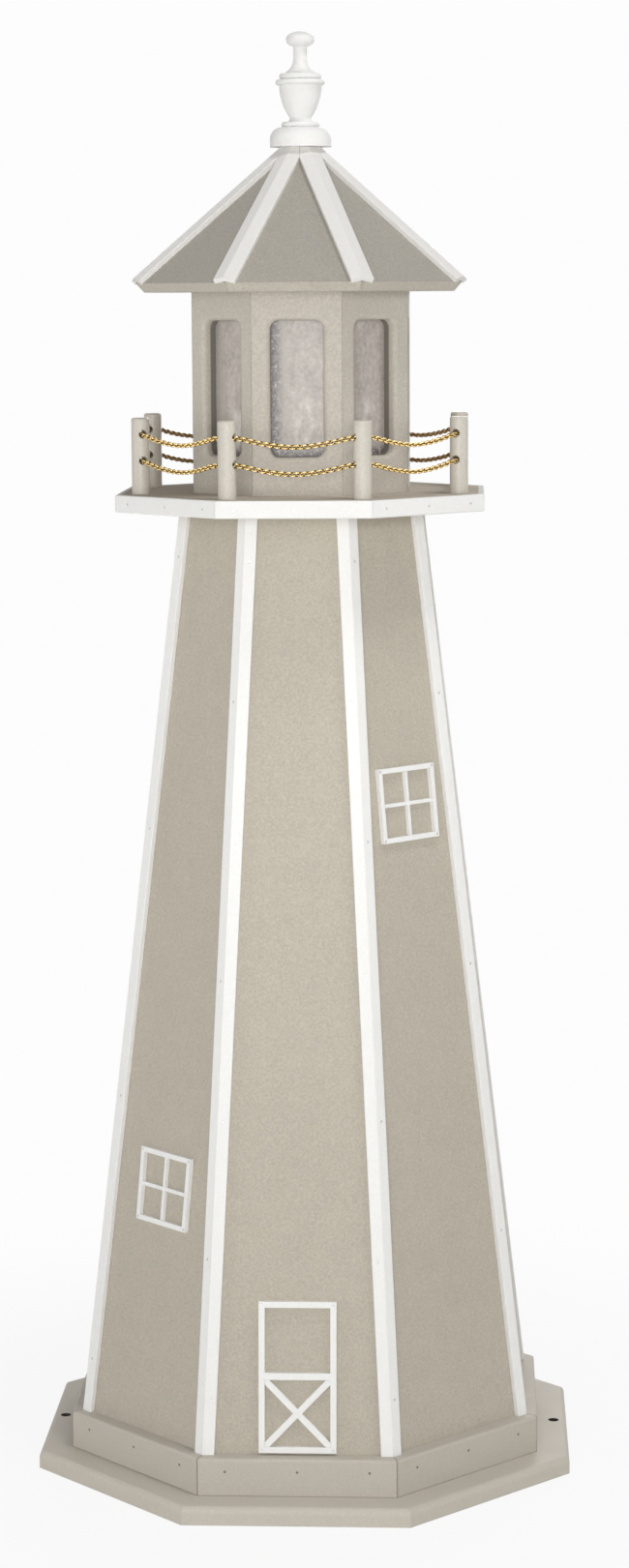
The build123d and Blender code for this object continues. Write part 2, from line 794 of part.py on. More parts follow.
# Bulb: its cap stands on the socket's floor, and the glass on the cap
with BuildPart() as bulb_cap:
    with Locations((0, 0, socket_floor)):
        Cylinder(bulb_cap_radius, bulb_cap_height, align=FROM_BOTTOM)
    chamfer(bulb_cap.edges().group_by(Axis.Z)[0], bulb_cap_chamfer)
save(bulb_cap, "bulb_cap")
bulb_foot = socket_floor + bulb_cap_height
with BuildPart() as bulb_glass:
    for depth, mode in ((0, Mode.ADD), (bulb_wall, Mode.SUBTRACT)):
        with BuildSketch(upright_plane(bulb_foot)) as half_bulb:
            Rectangle(bulb_neck_radius - depth, bulb_neck_height, align=(Align.MIN, Align.MIN))
            with Locations((0, bulb_neck_height)):
                Circle(bulb_radius - depth)
            split(bisect_by=Plane.YZ, keep=Keep.TOP)
            shoulder = half_bulb.vertices().sort_by(Axis.Y)[-2]
            fillet(shoulder, bulb_shoulder_round + depth)
        revolve(axis=Axis.Z, mode=mode)
save(bulb_glass, "bulb_glass")

# Door trim: frame with a middle rail, and an X brace below the rail
rail_middle = door_rail_middle - door_height / 2
upper_pane_height = door_height / 2 - door_strip - rail_middle - door_rail_strip / 2
lower_pane_height = door_height / 2 - door_strip + rail_middle - door_rail_strip / 2
door_pane_width = door_width - 2 * door_strip
upper_pane_middle = rail_middle + (door_rail_strip + upper_pane_height) / 2
lower_pane_middle = rail_middle - (door_rail_strip + lower_pane_height) / 2
with BuildPart() as door_frame:
    with BuildSketch(door_plane):
        Rectangle(door_width, door_height)
        with Locations((0, upper_pane_middle)):
            Rectangle(door_pane_width, upper_pane_height, mode=Mode.SUBTRACT)
        with Locations((0, lower_pane_middle)):
            Rectangle(door_pane_width, lower_pane_height, mode=Mode.SUBTRACT)
    extrude(amount=trim_thickness)
    with Locations(*door_brad_places):
        brad_hole(trim_brad_length)
save(door_frame, "door_frame")
brace_angle = degrees(atan(lower_pane_height / door_pane_width))
with BuildPart() as door_brace:
    with BuildSketch(door_plane):
        with Locations((0, lower_pane_middle)):
            for angle in (-brace_angle, brace_angle):
                Rectangle(2 * door_pane_width, door_brace_strip, rotation=angle)
            Rectangle(door_pane_width, lower_pane_height, mode=Mode.INTERSECT)
    extrude(amount=trim_thickness)
save(door_brace, "door_brace")

# Window trim: a frame and a cross of glazing bars on each of two panels
window_planes = [left_window_plane, right_window_plane]
window_pane_width = window_trim_width - 2 * window_strip
window_pane_height = window_trim_height - 2 * window_strip
with BuildPart() as window_frames:
    with BuildSketch(*window_planes):
        Rectangle(window_trim_width, window_trim_height)
        Rectangle(window_pane_width, window_pane_height, mode=Mode.SUBTRACT)
    extrude(amount=trim_thickness)
    for places in window_brad_places.values():
        with Locations(*places):
            brad_hole(trim_brad_length)
save(window_frames, "window_frames")
with BuildPart() as window_muntins:
    with BuildSketch(*window_planes):
        Rectangle(window_pane_width, muntin_width)
        Rectangle(muntin_width, window_pane_height)
    extrude(amount=muntin_thickness)
save(window_muntins, "window_muntins")

# Brads and screws, each kind together
with BuildPart() as skirt_nails:
    with Locations(*skirt_brad_places):
        brad(skirt_brad_length)
save(skirt_nails, "skirt_nails")
with BuildPart() as fascia_nails:
    with Locations(*fascia_brad_places):
        brad(fascia_brad_length)
save(fascia_nails, "fascia_nails")
with BuildPart() as batten_nails:
    for turn in range(SIDES):
        with Locations(*batten_brads(turn, -1), *batten_brads(turn, 1)):
            brad(batten_brad_length)
save(batten_nails, "batten_nails")
with BuildPart() as trim_nails:
    for places in trim_brads_on.values():
        with Locations(*places):
            brad(trim_brad_length)
save(trim_nails, "trim_nails")
with BuildPart() as post_screws:
    with Locations(*post_screw_places):
        screw(post_screw_length)
save(post_screws, "post_screws")
with BuildPart() as deck_screws:
    with Locations(*deck_screw_places):
        screw(deck_screw_length)
save(deck_screws, "deck_screws")
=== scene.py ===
import math

import bpy
from mathutils import Matrix, Vector


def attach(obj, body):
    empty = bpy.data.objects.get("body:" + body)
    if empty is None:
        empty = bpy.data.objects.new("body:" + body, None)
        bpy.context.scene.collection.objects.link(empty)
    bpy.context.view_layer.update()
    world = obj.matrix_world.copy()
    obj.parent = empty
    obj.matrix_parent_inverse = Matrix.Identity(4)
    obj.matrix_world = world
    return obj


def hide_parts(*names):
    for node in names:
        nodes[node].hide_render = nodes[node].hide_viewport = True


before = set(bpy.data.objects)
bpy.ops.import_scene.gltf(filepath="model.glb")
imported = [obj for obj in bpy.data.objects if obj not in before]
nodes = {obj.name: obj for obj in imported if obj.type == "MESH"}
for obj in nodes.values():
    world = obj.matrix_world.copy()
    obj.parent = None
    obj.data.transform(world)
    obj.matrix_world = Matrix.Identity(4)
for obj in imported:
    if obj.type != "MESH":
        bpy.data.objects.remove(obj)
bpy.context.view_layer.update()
MM = 0.001

# Camera, fitted to the photograph: distance, height, angles and focal length
CAMERA_DISTANCE = 3590.3 * MM
CAMERA_HEIGHT = 1248.6 * MM
CAMERA_YAW = math.radians(2.86)
CAMERA_PITCH = math.radians(8.24)
CAMERA_ROLL = math.radians(-0.36)
PHOTO_HEIGHT = 1621
FOCAL_PIXELS = 3476
CENTRE_OFFSET_PIXELS = 10
SENSOR = 36


def make_camera():
    """Camera at the photograph's view."""
    sin_yaw, cos_yaw = math.sin(CAMERA_YAW), math.cos(CAMERA_YAW)
    sin_pitch, cos_pitch = math.sin(CAMERA_PITCH), math.cos(CAMERA_PITCH)
    forward = Vector((-sin_yaw * cos_pitch, cos_yaw * cos_pitch, -sin_pitch))
    level_right = Vector((cos_yaw, sin_yaw, 0))
    level_up = level_right.cross(forward)
    right = level_right * math.cos(CAMERA_ROLL) + level_up * math.sin(CAMERA_ROLL)
    up = level_up * math.cos(CAMERA_ROLL) - level_right * math.sin(CAMERA_ROLL)
    data = bpy.data.cameras.new("camera")
    data.sensor_fit = "VERTICAL"
    data.sensor_height = SENSOR
    data.lens = FOCAL_PIXELS / PHOTO_HEIGHT * SENSOR
    data.shift_x = CENTRE_OFFSET_PIXELS / PHOTO_HEIGHT
    data.clip_end = 50
    camera = bpy.data.objects.new("camera", data)
    bpy.context.scene.collection.objects.link(camera)
    turn = Matrix((right, up, -forward)).transposed().to_4x4()
    place = Vector((CAMERA_DISTANCE * sin_yaw, -CAMERA_DISTANCE * cos_yaw, CAMERA_HEIGHT))
    camera.matrix_world = Matrix.Translation(place) @ turn
    bpy.context.scene.camera = camera


make_camera()

# Sizes of the part that the finishes follow
SIDES = 8
HALF_SIDE = math.pi / SIDES
SKIRT_RADIUS = 265 * MM
SKIRT_FOOT = 19 * MM
ANCHOR_REACH = 270.5 * MM
ANCHOR_RADIUS = 5.5 * MM
PANE_APOTHEM = 97 * MM
WINDOW_HALF_WIDTH = 27.5 * MM
WINDOW_FOOT = 1085 * MM
WINDOW_TOP = 1225 * MM
BULB_MIDDLE = 1118 * MM

# Reach of the dark marks on the boards: the skirt's seams, and painted shade in the anchor holes and window
# reveals
SEAM_WIDTH = 1.2 * MM
SEAM_CORE = SEAM_WIDTH / 3
BORE_SHADE_OUTSIDE = ANCHOR_RADIUS * 1.08
BORE_SHADE_INSIDE = ANCHOR_RADIUS * 1.02
WINDOW_SLACK = 0.5 * MM
REVEAL_SHADE_START = 105.5 * MM
REVEAL_SHADE_FULL = 103 * MM

# Grain of the finishes, in cycles per metre
SCUFF_GRAIN = 900
SKIN_GRAIN = 700
FINE_GRAIN = 420
BROAD_GRAIN = 45
CLOUD_GRAIN = 7
GLINT_GRAIN = 380
DIMPLE_GRAIN = 210
RIPPLE_GRAIN = 75
SHEEN_GRAIN = 22
FROST_GRAIN = 60

# Depth of the bumps
SKIN_DEPTH = 0.6 * MM
SPECK_DEPTH = 0.3 * MM
PANE_DEPTH = 2.5 * MM

# Stops of the noise: three for mottled tones, two for an even change
TONE_LOW, TONE_MID, TONE_HIGH = 0.36, 0.50, 0.64
EVEN_LOW, EVEN_HIGH = 0.3, 0.7

# Change of roughness over a finish
BOARD_ROUGH_CHANGE = 0.06
METAL_ROUGH_CHANGE = 0.12

# Shader helpers


def new_material(name):
    """Fresh material with its node tree and its Principled shader."""
    material = bpy.data.materials.new(name)
    material.use_nodes = True
    return material, material.node_tree, material.node_tree.nodes["Principled BSDF"]


def node(tree, kind, inputs=None, **settings):
    """New node with its input values and settings."""
    made = tree.nodes.new(kind)
    for key, value in settings.items():
        setattr(made, key, value)
    for key, value in (inputs or {}).items():
        made.inputs[key].default_value = value
    return made


def object_place(tree):
    """Place of the shaded point in the object's own frame."""
    return node(tree, "ShaderNodeTexCoord").outputs["Object"]


def noise(tree, scale, detail=2.0, roughness=0.5, stretch=(1, 1, 1)):
    """Noise in the object's own frame, scale in cycles per metre, optionally stretched."""
    mapping = node(tree, "ShaderNodeMapping", {"Scale": stretch})
    made = node(tree, "ShaderNodeTexNoise", {"Scale": scale, "Detail": detail, "Roughness": roughness})
    tree.links.new(object_place(tree), mapping.inputs["Vector"])
    tree.links.new(mapping.outputs[0], made.inputs["Vector"])
    return made.outputs[0]


def math_node(tree, operation, *values):
    """Math node whose inputs are sockets or numbers."""
    made = node(tree, "ShaderNodeMath", operation=operation)
    for index, value in enumerate(values):
        if isinstance(value, (int, float)):
            made.inputs[index].default_value = value
        else:
            tree.links.new(value, made.inputs[index])
    return made.outputs[0]


def weighted(tree, parts):
    """Weighted sum of sockets."""
    total = None
    for socket, weight in parts:
        term = math_node(tree, "MULTIPLY", socket, weight)
        total = term if total is None else math_node(tree, "ADD", total, term)
    return total


def fade(tree, value, start, end):
    """Smooth step of a value, 0 at the start and 1 at the end."""
    made = node(tree, "ShaderNodeMapRange", {"From Min": start, "From Max": end})
    made.interpolation_type = "SMOOTHSTEP"
    tree.links.new(value, made.inputs["Value"])
    return made.outputs[0]


def ramp(tree, factor, stops):
    """Colour ramp from (place, colour) stops."""
    made = node(tree, "ShaderNodeValToRGB")
    elements = made.color_ramp.elements
    while len(elements) < len(stops):
        elements.new(0.5)
    for element, (place, colour) in zip(elements, stops):
        element.position = place
        element.color = (*colour, 1)
    tree.links.new(factor, made.inputs[0])
    return made.outputs[0]


def mix(tree, factor, first, second):
    """Colour between two, each a socket or a colour."""
    made = node(tree, "ShaderNodeMix", data_type="RGBA")
    tree.links.new(factor, made.inputs["Factor"])
    for key, value in (("A", first), ("B", second)):
        socket = next(s for s in made.inputs if s.name == key and s.type == "RGBA")
        if isinstance(value, tuple):
            socket.default_value = (*value, 1)
        else:
            tree.links.new(value, socket)
    return next(s for s in made.outputs if s.type == "RGBA")


def shade(colour, share):
    """Colour times a share."""
    return tuple(channel * share for channel in colour)


def bumped(tree, shader, height, strength, distance, edge=None):
    """Bump from a height socket, over edges softened by a radius."""
    bump = node(tree, "ShaderNodeBump", {"Strength": strength, "Distance": distance})
    tree.links.new(height, bump.inputs["Height"])
    if edge:
        soft = node(tree, "ShaderNodeBevel", {"Radius": edge}, samples=4)
        tree.links.new(soft.outputs[0], bump.inputs["Normal"])
    tree.links.new(bump.outputs[0], shader.inputs["Normal"])


def object_axes(tree):
    """Sockets of the place's X, Y and Z in the object's own frame."""
    split = node(tree, "ShaderNodeSeparateXYZ")
    tree.links.new(object_place(tree), split.inputs[0])
    return split.outputs["X"], split.outputs["Y"], split.outputs["Z"]


def hypotenuse(tree, first, second):
    """Root of the sum of two squares."""
    squares = [math_node(tree, "POWER", value, 2) for value in (first, second)]
    return math_node(tree, "SQRT", math_node(tree, "ADD", *squares))


def octagon_axes(tree):
    """Sockets of the turn from the nearest side's middle, the turn from the front, and the height."""
    x, y, height = object_axes(tree)
    angle = math_node(tree, "ARCTAN2", x, math_node(tree, "MULTIPLY", y, -1))
    return math_node(tree, "WRAP", angle, HALF_SIDE, -HALF_SIDE), angle, height


def skirt_seams(tree):
    """1 along the mitred corners of the skirt and along its foot, 0 elsewhere."""
    turn, _, height = octagon_axes(tree)
    corner = math_node(tree, "SUBTRACT", HALF_SIDE, math_node(tree, "ABSOLUTE", turn))
    mitre = fade(tree, math_node(tree, "MULTIPLY", corner, SKIRT_RADIUS), SEAM_WIDTH, SEAM_CORE)
    foot = fade(tree, height, SKIRT_FOOT + SEAM_WIDTH, SKIRT_FOOT + SEAM_CORE)
    return math_node(tree, "MAXIMUM", mitre, foot)


def anchor_bore_shade(tree):
    """1 inside the two anchor holes, which take painted shade, 0 elsewhere."""
    x, y, _ = object_axes(tree)
    aside = math_node(tree, "SUBTRACT", math_node(tree, "ABSOLUTE", x), ANCHOR_REACH)
    return fade(tree, hypotenuse(tree, aside, y), BORE_SHADE_OUTSIDE, BORE_SHADE_INSIDE)


def window_reveal_shade(tree):
    """1 on the inner half of the lantern windows' edges, next to the panes, which take painted shade, 0
    elsewhere.
    """
    turn, _, height = octagon_axes(tree)
    x, y, _ = object_axes(tree)
    reach = hypotenuse(tree, x, y)
    inward = math_node(tree, "MULTIPLY", reach, math_node(tree, "COSINE", turn))
    across = math_node(tree, "MULTIPLY", reach, math_node(tree, "ABSOLUTE", math_node(tree, "SINE", turn)))
    found = fade(tree, inward, REVEAL_SHADE_START, REVEAL_SHADE_FULL)
    for value, operation, limit in (
        (across, "LESS_THAN", WINDOW_HALF_WIDTH + WINDOW_SLACK),
        (height, "GREATER_THAN", WINDOW_FOOT - WINDOW_SLACK),
        (height, "LESS_THAN", WINDOW_TOP + WINDOW_SLACK),
    ):
        found = math_node(tree, "MULTIPLY", found, math_node(tree, operation, value, limit))
    return found


def board(
    name,
    colour,
    spread=0.11,
    rough=0.62,
    grain=0.35,
    edge=1.2 * MM,
    specular=0.35,
    side_lit_colour=None,
    marks=None,
):
    """Moulded poly board, mottled, with a fine orange-peel skin.

    A side-lit colour, painted light, goes on faces turned down or sideways. Marks are a pair: a function
    that finds them, and their share of the colour; some marks are painted shade.
    """
    material, tree, shader = new_material(name)
    fine = noise(tree, FINE_GRAIN, 3, 0.6)
    broad = noise(tree, BROAD_GRAIN, 3, 0.55)
    cloud = noise(tree, CLOUD_GRAIN, 2, 0.5)
    mixed = weighted(tree, ((fine, 0.75), (broad, 0.17), (cloud, 0.08)))
    dark, light = shade(colour, 1 - spread), shade(colour, 1 + spread)
    tint = ramp(tree, mixed, ((TONE_LOW, dark), (TONE_MID, colour), (TONE_HIGH, light)))
    # Painted light: a paler colour on faces turned down or sideways
    if side_lit_colour:
        split = node(tree, "ShaderNodeSeparateXYZ")
        tree.links.new(node(tree, "ShaderNodeTexCoord").outputs["Normal"], split.inputs[0])
        side_lit_tint = ramp(tree, mixed, ((TONE_LOW, shade(side_lit_colour, 1 - spread)), (TONE_HIGH, shade(side_lit_colour, 1 + spread))))
        tint = mix(tree, fade(tree, split.outputs["Z"], 0.3, 0.1), tint, side_lit_tint)
    if marks:
        where, share = marks
        tint = mix(tree, where(tree), tint, shade(colour, share))
    tree.links.new(tint, shader.inputs["Base Color"])
    least, most = rough - BOARD_ROUGH_CHANGE, rough + BOARD_ROUGH_CHANGE
    gloss = ramp(tree, broad, ((EVEN_LOW, (least,) * 3), (EVEN_HIGH, (most,) * 3)))
    tree.links.new(gloss, shader.inputs["Roughness"])
    shader.inputs["Specular IOR Level"].default_value = specular
    skin = weighted(tree, ((noise(tree, SKIN_GRAIN, 2, 0.5), 0.6), (fine, 0.4)))
    bumped(tree, shader, skin, grain, SKIN_DEPTH, edge)
    return material


def smooth_white(name, colour, specular):
    """White board, smoother and more even than the grey."""
    return board(name, colour, spread=0.025, rough=0.5, grain=0.12, edge=0.9 * MM, specular=specular)


# One board grey in lighter and darker copies, partly painted light and shade: the base, skirt, lantern head,
# deck and posts lighter than the tower, the roof darker; the whites likewise, the ribs and fascia darker
# The deck and its fascia are seen at a low angle, where any gloss would turn them white
# Painted shade inside the base's anchor holes
base_grey = board("base_grey", (0.545, 0.505, 0.44), spread=0.05, grain=0.15, marks=(anchor_bore_shade, 0.1))
skirt_grey = board("skirt_grey", (0.507, 0.47, 0.41), spread=0.05, grain=0.15, marks=(skirt_seams, 0.66))
tower_grey = board("tower_grey", (0.470, 0.429, 0.3545))
# Painted shade in the lantern windows' reveals, next to the panes
head_grey = board("head_grey", (0.533, 0.494, 0.429), marks=(window_reveal_shade, 0.36))
deck_grey = board("deck_grey", (0.56, 0.505, 0.435), specular=0.0)
# Roof boards, with painted light on their eave cuts and other faces turned down or sideways
roof_grey = board("roof_grey", (0.366, 0.34, 0.295), side_lit_colour=(0.497, 0.461, 0.397))
post_grey = board("post_grey", (0.562, 0.526, 0.46), spread=0.06, rough=0.40, grain=0.05)
white = smooth_white("white_board", (0.84, 0.835, 0.815), 0.22)
rib_white = smooth_white("rib_white", (0.785, 0.77, 0.74), 0.1)
fascia_white = smooth_white("fascia_white", (0.82, 0.815, 0.795), 0.0)

# Painted shade on the chains: bright in front and darker behind, between these places on the way to the rear
REAR_SHADE_BEGIN = -150 * MM
REAR_SHADE_FULL = 30 * MM


def metal(name, colour, rough, spread, rear_shade=None):
    """Metal with fine scuffs in its colour and its roughness, and perhaps a painted shade towards the rear.
    """
    material, tree, shader = new_material(name)
    scuff = noise(tree, SCUFF_GRAIN, 3, 0.6)
    tint = ramp(tree, scuff, ((EVEN_LOW, shade(colour, 1 - spread)), (EVEN_HIGH, colour)))
    if rear_shade:
        _, rearward, _ = object_axes(tree)
        tint = mix(tree, fade(tree, rearward, REAR_SHADE_BEGIN, REAR_SHADE_FULL), tint, rear_shade)
    tree.links.new(tint, shader.inputs["Base Color"])
    gloss = ramp(tree, scuff, ((EVEN_LOW, (rough + METAL_ROUGH_CHANGE,) * 3), (EVEN_HIGH, (rough,) * 3)))
    tree.links.new(gloss, shader.inputs["Roughness"])
    shader.inputs["Metallic"].default_value = 1.0
    return material


# Gold of the chains, with a painted shade on the rear stretch
gold = metal("gold_chain", (0.98, 0.73, 0.32), 0.18, 0.25, rear_shade=(0.40, 0.26, 0.12))
# Painted shade in the links' eyes: a near-black gold on the inner faces of each link
painted_link_shade = metal("gold_painted_shade", (0.15, 0.08, 0.02), 0.45, 0.4)
steel = metal("steel", (0.42, 0.41, 0.40), 0.45, 0.3)
brad_steel = metal("brad_steel", (0.66, 0.65, 0.63), 0.5, 0.2)
dark_brad = metal("dark_brad", (0.26, 0.25, 0.23), 0.55, 0.3)
cap_metal = metal("bulb_metal", (0.75, 0.74, 0.72), 0.3, 0.2)


def plain(name, colour, rough, scale):
    """Moulded plastic or rubber with a faint texture."""
    material, tree, shader = new_material(name)
    speck = noise(tree, scale, 3, 0.6)
    tint = ramp(tree, speck, ((EVEN_LOW, shade(colour, 0.92)), (EVEN_HIGH, colour)))
    tree.links.new(tint, shader.inputs["Base Color"])
    shader.inputs["Roughness"].default_value = rough
    bumped(tree, shader, speck, 0.1, SPECK_DEPTH, edge=0.8 * MM)
    return material


porcelain = plain("lamp_plastic", (0.82, 0.80, 0.76), 0.25, 300)
rubber = plain("grommet_rubber", (0.03, 0.03, 0.03), 0.7, 500)

# Hammered panes: colours, the painted shade and glints along their edges, and the painted glow before the
# bulb
PANE_TONES = (
    (TONE_LOW, (0.40, 0.362, 0.326)),
    (TONE_MID, (0.532, 0.485, 0.442)),
    (TONE_HIGH, (0.675, 0.622, 0.574)),
)
PANE_PAINTED_SHADE = (0.17, 0.15, 0.15)
PANE_PAINTED_GLINT = (0.80, 0.76, 0.72)
PANE_PAINTED_GLOW = (0.86, 0.83, 0.77)
PANE_CLEAR_SHARE = 0.15
SHADE_FRINGE_START = -0.3 * WINDOW_HALF_WIDTH
SHADE_FRINGE_FULL = -0.9 * WINDOW_HALF_WIDTH
LOW_SHADE_START = WINDOW_FOOT + 16 * MM
LOW_SHADE_FULL = WINDOW_FOOT + 2 * MM
SIDE_SHADE_SHARE = 0.4
PAINTED_GLOW_ASIDE = 6 * MM
PAINTED_GLOW_WIDTH = 13 * MM
PAINTED_GLOW_HEIGHT = 34 * MM


def hammered_pane():
    """Hammered sheet, pale and part see-through, with mottled painted shade and glints to the left and
    below, and a painted bulb glow.
    """
    material, tree, shader = new_material("clear_pane")
    turn, angle, height = octagon_axes(tree)
    across = math_node(tree, "MULTIPLY", math_node(tree, "TANGENT", turn), PANE_APOTHEM)
    ripple = noise(tree, RIPPLE_GRAIN, 3, 0.6, stretch=(1, 1, 0.5))
    dimple = noise(tree, DIMPLE_GRAIN, 3, 0.65)
    sheen = noise(tree, SHEEN_GRAIN, 2, 0.5, stretch=(1, 1, 0.4))
    tone = weighted(tree, ((ripple, 0.3), (dimple, 0.45), (sheen, 0.25)))
    body = ramp(tree, tone, PANE_TONES)
    # Painted shade along the left and lower edges, weaker on the side panes
    left_edge = fade(tree, across, SHADE_FRINGE_START, SHADE_FRINGE_FULL)
    low_edge = fade(tree, height, LOW_SHADE_START, LOW_SHADE_FULL)
    other = math_node(tree, "GREATER_THAN", math_node(tree, "ABSOLUTE", angle), HALF_SIDE)
    share = math_node(tree, "MULTIPLY_ADD", other, SIDE_SHADE_SHARE - 1, 1.0)
    edge = math_node(tree, "MAXIMUM", math_node(tree, "MULTIPLY", left_edge, share), low_edge)
    patch = fade(tree, weighted(tree, ((dimple, 0.7), (ripple, 0.3), (edge, 0.2))), 0.46, 0.74)
    mottled = mix(tree, math_node(tree, "MULTIPLY", patch, edge), body, PANE_PAINTED_SHADE)
    # Painted glints in the shaded edge
    glint = math_node(tree, "MULTIPLY", fade(tree, noise(tree, GLINT_GRAIN, 2, 0.5), 0.56, 0.70), edge)
    mottled = mix(tree, math_node(tree, "MULTIPLY", glint, 0.7), mottled, PANE_PAINTED_GLINT)
    # Painted glow of the bulb, which is no lamp
    aside = math_node(tree, "DIVIDE", math_node(tree, "SUBTRACT", across, PAINTED_GLOW_ASIDE), PAINTED_GLOW_WIDTH)
    above = math_node(tree, "DIVIDE", math_node(tree, "SUBTRACT", height, BULB_MIDDLE), PAINTED_GLOW_HEIGHT)
    squares = [math_node(tree, "MULTIPLY", value, value) for value in (aside, above)]
    reach = math_node(tree, "ADD", *squares)
    glow = math_node(tree, "MULTIPLY", fade(tree, reach, 1.0, 0.0), fade(tree, ripple, 0.35, 0.7))
    tree.links.new(mix(tree, glow, mottled, PANE_PAINTED_GLOW), shader.inputs["Base Color"])
    shader.inputs["Roughness"].default_value = 0.34
    shader.inputs["Specular IOR Level"].default_value = 0.5
    relief = weighted(tree, ((dimple, 0.5), (ripple, 0.5)))
    bumped(tree, shader, relief, 0.35, PANE_DEPTH)
    clear = node(tree, "ShaderNodeBsdfTransparent", {"Color": (0.95, 0.95, 0.94, 1)})
    blend = node(tree, "ShaderNodeMixShader", {0: PANE_CLEAR_SHARE})
    tree.links.new(shader.outputs[0], blend.inputs[1])
    tree.links.new(clear.outputs[0], blend.inputs[2])
    tree.links.new(blend.outputs[0], tree.nodes["Material Output"].inputs["Surface"])
    return material


pane = hammered_pane()


def frosted():
    """Milky bulb glass, paler in patches."""
    material, tree, shader = new_material("bulb_frost")
    cloud = noise(tree, FROST_GRAIN, 2, 0.5)
    tint = ramp(tree, cloud, ((EVEN_LOW, (0.86, 0.85, 0.80)), (EVEN_HIGH, (0.93, 0.92, 0.88))))
    tree.links.new(tint, shader.inputs["Base Color"])
    shader.inputs["Roughness"].default_value = 0.3
    shader.inputs["Subsurface Weight"].default_value = 0.2
    shader.inputs["Subsurface Radius"].default_value = (0.01, 0.01, 0.01)
    return material


frost = frosted()

# Materials of the CAD nodes, by the start of the node's name
FINISHES = (
    ("base_board", base_grey),
    ("skirt_boards", skirt_grey),
    ("tower_panel_", tower_grey),
    ("tower_top_plate", tower_grey),
    ("tower_batten_", white),
    ("door_", white),
    ("window_", white),
    ("gallery_deck", deck_grey),
    ("gallery_posts", post_grey),
    ("deck_fascia", fascia_white),
    ("lantern_panel_", head_grey),
    ("lantern_panes", pane),
    ("roof_panel_", roof_grey),
    ("roof_ribs", rib_white),
    ("roof_cleats", white),
    ("peak_block", white),
    ("finial_screw", steel),
    ("finial", white),
    ("upper_chain", gold),
    ("lower_chain", gold),
    ("lamp_holder", porcelain),
    ("bulb_glass", frost),
    ("bulb_cap", cap_metal),
    ("cable_grommet", rubber),
    ("skirt_nails", dark_brad),
    ("fascia_nails", brad_steel),
    ("batten_nails", brad_steel),
    ("trim_nails", brad_steel),
    ("post_screws", steel),
    ("deck_screws", steel),
)
for name, thing in nodes.items():
    finish = next(material for start, material in FINISHES if name.startswith(start))
    thing.data.materials.clear()
    thing.data.materials.append(finish)

# Chains: the same route as the solids, and twisted links along its smooth line
DECK_TOP = 1045 * MM
DECK_BOARD_APOTHEM = 186.5 * MM
POST_CORNER_DISTANCE = 22 * MM
POST_CIRCLE = DECK_BOARD_APOTHEM / math.cos(HALF_SIDE) - POST_CORNER_DISTANCE
CHAIN_DROP = 0.5 * MM
MOUTH_REACH = 13 * MM
END_GAP = 1 * MM
CHAIN_HEIGHTS = {"upper_chain": 63 * MM, "lower_chain": 35.5 * MM}
# Shares of the way across a bay, and how far the chain's route hangs there
BAY_HANG = [(0.17, 5.3 * MM), (0.40, 9.5 * MM), (0.60, 9.5 * MM), (0.83, 5.3 * MM)]
FIRST_POST = 3
LINK_LENGTH = 7.3 * MM
LINK_WIDTH = 6.3 * MM
LINK_WIRE = 1.7 * MM
LINK_PITCH = LINK_LENGTH - 2 * LINK_WIRE
LINK_TWIST = math.radians(45)
LINK_LEAN = math.radians(14)


def chain_route(height):
    """Points of one chain, from inside a rear post, round the gallery and back into it."""
    level = DECK_TOP + height - CHAIN_DROP
    mouths = []
    for post in range(SIDES + 1):
        angle = math.radians(360 / SIDES * (FIRST_POST + post + 0.5) - 90)
        centre = Vector((POST_CIRCLE * math.cos(angle), POST_CIRCLE * math.sin(angle), level))
        along = Vector((-math.sin(angle), math.cos(angle), 0))
        mouths.append((centre - along * MOUTH_REACH, centre, centre + along * MOUTH_REACH))
    along = (mouths[0][2] - mouths[0][1]).normalized()
    points = [mouths[0][1] + along * END_GAP / 2, mouths[0][2]]
    for here, there in zip(mouths, mouths[1:]):
        for share, drop in BAY_HANG:
            points.append(here[2].lerp(there[0], share) - Vector((0, 0, drop)))
        points.append(there[0])
        points.append(there[2])
    points[-1] = mouths[-1][1] - along * END_GAP / 2
    return points


def smooth_line(name, points):
    """Points of the smooth spline that has these control points."""
    curve = bpy.data.curves.new(name, "CURVE")
    curve.dimensions = "3D"
    curve.resolution_u = 16
    spline = curve.splines.new("NURBS")
    spline.points.add(len(points) - 1)
    for target, point in zip(spline.points, points):
        target.co = (*point, 1)
    spline.order_u = 3
    spline.use_endpoint_u = True
    carrier = bpy.data.objects.new(name, curve)
    bpy.context.scene.collection.objects.link(carrier)
    bpy.context.view_layer.update()
    line = bpy.data.meshes.new_from_object(carrier)
    found = [vertex.co.copy() for vertex in line.vertices]
    bpy.data.meshes.remove(line)
    bpy.data.objects.remove(carrier)
    bpy.data.curves.remove(curve)
    return found


def along_line(line, step):
    """Evenly spaced (point, direction) pairs along a line of points, and the line's length."""
    marks = [0.0]
    for a, b in zip(line, line[1:]):
        marks.append(marks[-1] + (b - a).length)
    count = int(marks[-1] / step)
    places = []
    index = 0
    for number in range(count):
        reach = (number + 0.5) * marks[-1] / count
        while marks[index + 1] < reach:
            index += 1
        run = line[index + 1] - line[index]
        share = (reach - marks[index]) / (marks[index + 1] - marks[index])
        places.append((line[index] + run * share, run.normalized()))
    return places, marks[-1]


